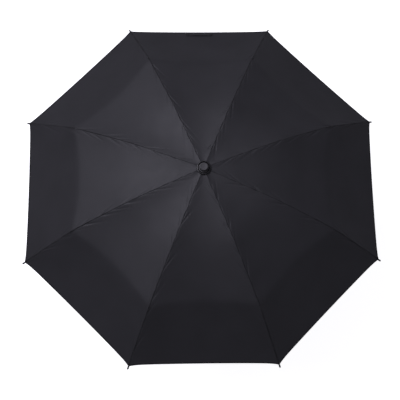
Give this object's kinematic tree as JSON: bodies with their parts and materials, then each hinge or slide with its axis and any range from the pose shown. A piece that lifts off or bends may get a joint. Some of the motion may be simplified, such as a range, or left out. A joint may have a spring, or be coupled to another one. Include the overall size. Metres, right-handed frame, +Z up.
{
  "type": "folding umbrella",
  "caption": "Compact three-fold umbrella with a black octagonal canopy, hinged folding ribs, a sliding runner and a telescopic shaft with a cupped grip.",
  "frame": {"origin": "centre of the flat bottom end of the handle, with the umbrella open and drawn out", "axes": "+Z up the shaft towards the cap; the ribs stand at 22.5 degrees and every 45 degrees from +X, so flat sides of the canopy face +X, +Y, -X and -Y"},
  "size_m": [0.9092, 0.9092, 0.6088],
  "materials": {
    "grip": "soft-touch black",
    "grip_trim": "gloss black",
    "steel": "bright",
    "shaft": "plated steel tube",
    "spring": "blued spring steel",
    "hub": "black nylon",
    "washer": "black disc",
    "cap": "satin grey-black",
    "canopy": "black pongee",
    "snap": "black press stud",
    "rib": "black coated sheet steel",
    "rod": "black coated spring wire",
    "tip": "plated"
  },
  "bodies": {
    "handle": {"handle_grip": "grip", "handle_end_cap": "grip_trim", "handle_pin": "steel", "tip_cup": "grip_trim", "lower_tube": "shaft"},
    "middle_tube": {"middle_tube": "shaft"},
    "top_tube": {"top_tube": "shaft", "crown": "hub", "crown_tie_wire": "steel", "cap_stud": "steel", "cap_washer": "washer", "top_cap": "cap", "canopy": "canopy", "closure_strap": "canopy", "closure_snap": "snap"},
    "runner": {"runner": "hub"},
    "lower_catch": {"lower_catch": "spring"},
    "middle_catch": {"middle_catch": "spring"},
    "runner_catch": {"runner_catch": "spring"},
    "inner_rib_1": {"inner_rib_1": "rib"},
    "stretcher_1": {"stretcher_1": "rib"},
    "middle_rib_1": {"middle_rib_1": "rib"},
    "outer_rib_1": {"outer_rib_1": "rod", "rib_tip_1": "tip"},
    "inner_rib_2": {"inner_rib_2": "rib"},
    "stretcher_2": {"stretcher_2": "rib"},
    "middle_rib_2": {"middle_rib_2": "rib"},
    "outer_rib_2": {"outer_rib_2": "rod", "rib_tip_2": "tip"},
    "inner_rib_3": {"inner_rib_3": "rib"},
    "stretcher_3": {"stretcher_3": "rib"},
    "middle_rib_3": {"middle_rib_3": "rib"},
    "outer_rib_3": {"outer_rib_3": "rod", "rib_tip_3": "tip"},
    "inner_rib_4": {"inner_rib_4": "rib"},
    "stretcher_4": {"stretcher_4": "rib"},
    "middle_rib_4": {"middle_rib_4": "rib"},
    "outer_rib_4": {"outer_rib_4": "rod", "rib_tip_4": "tip"},
    "inner_rib_5": {"inner_rib_5": "rib"},
    "stretcher_5": {"stretcher_5": "rib"},
    "middle_rib_5": {"middle_rib_5": "rib"},
    "outer_rib_5": {"outer_rib_5": "rod", "rib_tip_5": "tip"},
    "inner_rib_6": {"inner_rib_6": "rib"},
    "stretcher_6": {"stretcher_6": "rib"},
    "middle_rib_6": {"middle_rib_6": "rib"},
    "outer_rib_6": {"outer_rib_6": "rod", "rib_tip_6": "tip"},
    "inner_rib_7": {"inner_rib_7": "rib"},
    "stretcher_7": {"stretcher_7": "rib"},
    "middle_rib_7": {"middle_rib_7": "rib"},
    "outer_rib_7": {"outer_rib_7": "rod", "rib_tip_7": "tip"},
    "inner_rib_8": {"inner_rib_8": "rib"},
    "stretcher_8": {"stretcher_8": "rib"},
    "middle_rib_8": {"middle_rib_8": "rib"},
    "outer_rib_8": {"outer_rib_8": "rod", "rib_tip_8": "tip"}
  },
  "joints": [
    {"name": "middle_tube_slide", "type": "slide", "parent": "handle", "child": "middle_tube", "axis": [0, 0, -1], "range_m": [0, 0.158]},
    {"name": "top_tube_slide", "type": "slide", "parent": "middle_tube", "child": "top_tube", "axis": [0, 0, -1], "range_m": [0, 0.154]},
    {"name": "runner_slide", "type": "slide", "parent": "top_tube", "child": "runner", "axis": [0, 0, -1], "range_m": [0, 0.12289], "deforming": ["canopy", "closure_strap", "closure_snap", "runner_catch"]},
    {"name": "lower_catch_press", "type": "slide", "parent": "handle", "child": "lower_catch", "axis": [0, 1, 0], "range_m": [0, 0.00058], "stiffness_N_per_m": 800, "springref_m": -0.0004},
    {"name": "middle_catch_press", "type": "slide", "parent": "middle_tube", "child": "middle_catch", "axis": [0, 1, 0], "range_m": [0, 0.00065], "stiffness_N_per_m": 800, "springref_m": -0.0004},
    {"name": "runner_catch_press", "type": "slide", "parent": "top_tube", "child": "runner_catch", "axis": [0, 1, 0], "range_m": [0, 0.0016], "stiffness_N_per_m": 600, "springref_m": -0.0004},
    {"name": "inner_fold_1", "type": "hinge", "parent": "top_tube", "child": "inner_rib_1", "pos_m": [0.01016, 0.00421, 0.59], "axis": [0.3827, -0.9239, 0], "range_deg": [-82.22, 0]},
    {"name": "stay_fold_1", "type": "hinge", "parent": "inner_rib_1", "child": "stretcher_1", "pos_m": [0.08974, 0.03717, 0.57761], "axis": [0.3827, -0.9239, 0], "range_deg": [0, 141.08]},
    {"name": "middle_fold_1", "type": "hinge", "parent": "inner_rib_1", "child": "middle_rib_1", "pos_m": [0.17339, 0.07182, 0.56831], "axis": [0.3827, -0.9239, 0], "range_deg": [0, 192.12]},
    {"name": "outer_fold_1", "type": "hinge", "parent": "middle_rib_1", "child": "outer_rib_1", "pos_m": [0.31877, 0.13204, 0.50947], "axis": [0.3827, -0.9239, 0], "range_deg": [-160.52, 0]},
    {"name": "inner_fold_2", "type": "hinge", "parent": "top_tube", "child": "inner_rib_2", "pos_m": [0.00421, 0.01016, 0.59], "axis": [0.9239, -0.3827, 0], "range_deg": [-82.22, 0]},
    {"name": "stay_fold_2", "type": "hinge", "parent": "inner_rib_2", "child": "stretcher_2", "pos_m": [0.03717, 0.08974, 0.57761], "axis": [0.9239, -0.3827, 0], "range_deg": [0, 141.08]},
    {"name": "middle_fold_2", "type": "hinge", "parent": "inner_rib_2", "child": "middle_rib_2", "pos_m": [0.07182, 0.17339, 0.56831], "axis": [0.9239, -0.3827, 0], "range_deg": [0, 192.12]},
    {"name": "outer_fold_2", "type": "hinge", "parent": "middle_rib_2", "child": "outer_rib_2", "pos_m": [0.13204, 0.31877, 0.50947], "axis": [0.9239, -0.3827, 0], "range_deg": [-160.52, 0]},
    {"name": "inner_fold_3", "type": "hinge", "parent": "top_tube", "child": "inner_rib_3", "pos_m": [-0.00421, 0.01016, 0.59], "axis": [0.9239, 0.3827, 0], "range_deg": [-82.22, 0]},
    {"name": "stay_fold_3", "type": "hinge", "parent": "inner_rib_3", "child": "stretcher_3", "pos_m": [-0.03717, 0.08974, 0.57761], "axis": [0.9239, 0.3827, 0], "range_deg": [0, 141.08]},
    {"name": "middle_fold_3", "type": "hinge", "parent": "inner_rib_3", "child": "middle_rib_3", "pos_m": [-0.07182, 0.17339, 0.56831], "axis": [0.9239, 0.3827, 0], "range_deg": [0, 192.12]},
    {"name": "outer_fold_3", "type": "hinge", "parent": "middle_rib_3", "child": "outer_rib_3", "pos_m": [-0.13204, 0.31877, 0.50947], "axis": [0.9239, 0.3827, 0], "range_deg": [-160.52, 0]},
    {"name": "inner_fold_4", "type": "hinge", "parent": "top_tube", "child": "inner_rib_4", "pos_m": [-0.01016, 0.00421, 0.59], "axis": [0.3827, 0.9239, 0], "range_deg": [-82.22, 0]},
    {"name": "stay_fold_4", "type": "hinge", "parent": "inner_rib_4", "child": "stretcher_4", "pos_m": [-0.08974, 0.03717, 0.57761], "axis": [0.3827, 0.9239, 0], "range_deg": [0, 141.08]},
    {"name": "middle_fold_4", "type": "hinge", "parent": "inner_rib_4", "child": "middle_rib_4", "pos_m": [-0.17339, 0.07182, 0.56831], "axis": [0.3827, 0.9239, 0], "range_deg": [0, 192.12]},
    {"name": "outer_fold_4", "type": "hinge", "parent": "middle_rib_4", "child": "outer_rib_4", "pos_m": [-0.31877, 0.13204, 0.50947], "axis": [0.3827, 0.9239, 0], "range_deg": [-160.52, 0]},
    {"name": "inner_fold_5", "type": "hinge", "parent": "top_tube", "child": "inner_rib_5", "pos_m": [-0.01016, -0.00421, 0.59], "axis": [-0.3827, 0.9239, 0], "range_deg": [-82.22, 0]},
    {"name": "stay_fold_5", "type": "hinge", "parent": "inner_rib_5", "child": "stretcher_5", "pos_m": [-0.08974, -0.03717, 0.57761], "axis": [-0.3827, 0.9239, 0], "range_deg": [0, 141.08]},
    {"name": "middle_fold_5", "type": "hinge", "parent": "inner_rib_5", "child": "middle_rib_5", "pos_m": [-0.17339, -0.07182, 0.56831], "axis": [-0.3827, 0.9239, 0], "range_deg": [0, 192.12]},
    {"name": "outer_fold_5", "type": "hinge", "parent": "middle_rib_5", "child": "outer_rib_5", "pos_m": [-0.31877, -0.13204, 0.50947], "axis": [-0.3827, 0.9239, 0], "range_deg": [-160.52, 0]},
    {"name": "inner_fold_6", "type": "hinge", "parent": "top_tube", "child": "inner_rib_6", "pos_m": [-0.00421, -0.01016, 0.59], "axis": [-0.9239, 0.3827, 0], "range_deg": [-82.22, 0]},
    {"name": "stay_fold_6", "type": "hinge", "parent": "inner_rib_6", "child": "stretcher_6", "pos_m": [-0.03717, -0.08974, 0.57761], "axis": [-0.9239, 0.3827, 0], "range_deg": [0, 141.08]},
    {"name": "middle_fold_6", "type": "hinge", "parent": "inner_rib_6", "child": "middle_rib_6", "pos_m": [-0.07182, -0.17339, 0.56831], "axis": [-0.9239, 0.3827, 0], "range_deg": [0, 192.12]},
    {"name": "outer_fold_6", "type": "hinge", "parent": "middle_rib_6", "child": "outer_rib_6", "pos_m": [-0.13204, -0.31877, 0.50947], "axis": [-0.9239, 0.3827, 0], "range_deg": [-160.52, 0]},
    {"name": "inner_fold_7", "type": "hinge", "parent": "top_tube", "child": "inner_rib_7", "pos_m": [0.00421, -0.01016, 0.59], "axis": [-0.9239, -0.3827, 0], "range_deg": [-82.22, 0]},
    {"name": "stay_fold_7", "type": "hinge", "parent": "inner_rib_7", "child": "stretcher_7", "pos_m": [0.03717, -0.08974, 0.57761], "axis": [-0.9239, -0.3827, 0], "range_deg": [0, 141.08]},
    {"name": "middle_fold_7", "type": "hinge", "parent": "inner_rib_7", "child": "middle_rib_7", "pos_m": [0.07182, -0.17339, 0.56831], "axis": [-0.9239, -0.3827, 0], "range_deg": [0, 192.12]},
    {"name": "outer_fold_7", "type": "hinge", "parent": "middle_rib_7", "child": "outer_rib_7", "pos_m": [0.13204, -0.31877, 0.50947], "axis": [-0.9239, -0.3827, 0], "range_deg": [-160.52, 0]},
    {"name": "inner_fold_8", "type": "hinge", "parent": "top_tube", "child": "inner_rib_8", "pos_m": [0.01016, -0.00421, 0.59], "axis": [-0.3827, -0.9239, 0], "range_deg": [-82.22, 0]},
    {"name": "stay_fold_8", "type": "hinge", "parent": "inner_rib_8", "child": "stretcher_8", "pos_m": [0.08974, -0.03717, 0.57761], "axis": [-0.3827, -0.9239, 0], "range_deg": [0, 141.08]},
    {"name": "middle_fold_8", "type": "hinge", "parent": "inner_rib_8", "child": "middle_rib_8", "pos_m": [0.17339, -0.07182, 0.56831], "axis": [-0.3827, -0.9239, 0], "range_deg": [0, 192.12]},
    {"name": "outer_fold_8", "type": "hinge", "parent": "middle_rib_8", "child": "outer_rib_8", "pos_m": [0.31877, -0.13204, 0.50947], "axis": [-0.3827, -0.9239, 0], "range_deg": [-160.52, 0]}
  ],
  "couplings": [
    {"joint": "inner_fold_1", "follows": "runner_slide", "rad_per_m": -11.674},
    {"joint": "stay_fold_1", "follows": "runner_slide", "rad_per_m": 20.034},
    {"joint": "middle_fold_1", "follows": "runner_slide", "rad_per_m": 27.282},
    {"joint": "outer_fold_1", "follows": "runner_slide", "rad_per_m": -22.794},
    {"joint": "inner_fold_2", "follows": "runner_slide", "rad_per_m": -11.674},
    {"joint": "stay_fold_2", "follows": "runner_slide", "rad_per_m": 20.034},
    {"joint": "middle_fold_2", "follows": "runner_slide", "rad_per_m": 27.282},
    {"joint": "outer_fold_2", "follows": "runner_slide", "rad_per_m": -22.794},
    {"joint": "inner_fold_3", "follows": "runner_slide", "rad_per_m": -11.674},
    {"joint": "stay_fold_3", "follows": "runner_slide", "rad_per_m": 20.034},
    {"joint": "middle_fold_3", "follows": "runner_slide", "rad_per_m": 27.282},
    {"joint": "outer_fold_3", "follows": "runner_slide", "rad_per_m": -22.794},
    {"joint": "inner_fold_4", "follows": "runner_slide", "rad_per_m": -11.674},
    {"joint": "stay_fold_4", "follows": "runner_slide", "rad_per_m": 20.034},
    {"joint": "middle_fold_4", "follows": "runner_slide", "rad_per_m": 27.282},
    {"joint": "outer_fold_4", "follows": "runner_slide", "rad_per_m": -22.794},
    {"joint": "inner_fold_5", "follows": "runner_slide", "rad_per_m": -11.674},
    {"joint": "stay_fold_5", "follows": "runner_slide", "rad_per_m": 20.034},
    {"joint": "middle_fold_5", "follows": "runner_slide", "rad_per_m": 27.282},
    {"joint": "outer_fold_5", "follows": "runner_slide", "rad_per_m": -22.794},
    {"joint": "inner_fold_6", "follows": "runner_slide", "rad_per_m": -11.674},
    {"joint": "stay_fold_6", "follows": "runner_slide", "rad_per_m": 20.034},
    {"joint": "middle_fold_6", "follows": "runner_slide", "rad_per_m": 27.282},
    {"joint": "outer_fold_6", "follows": "runner_slide", "rad_per_m": -22.794},
    {"joint": "inner_fold_7", "follows": "runner_slide", "rad_per_m": -11.674},
    {"joint": "stay_fold_7", "follows": "runner_slide", "rad_per_m": 20.034},
    {"joint": "middle_fold_7", "follows": "runner_slide", "rad_per_m": 27.282},
    {"joint": "outer_fold_7", "follows": "runner_slide", "rad_per_m": -22.794},
    {"joint": "inner_fold_8", "follows": "runner_slide", "rad_per_m": -11.674},
    {"joint": "stay_fold_8", "follows": "runner_slide", "rad_per_m": 20.034},
    {"joint": "middle_fold_8", "follows": "runner_slide", "rad_per_m": 27.282},
    {"joint": "outer_fold_8", "follows": "runner_slide", "rad_per_m": -22.794}
  ]
}
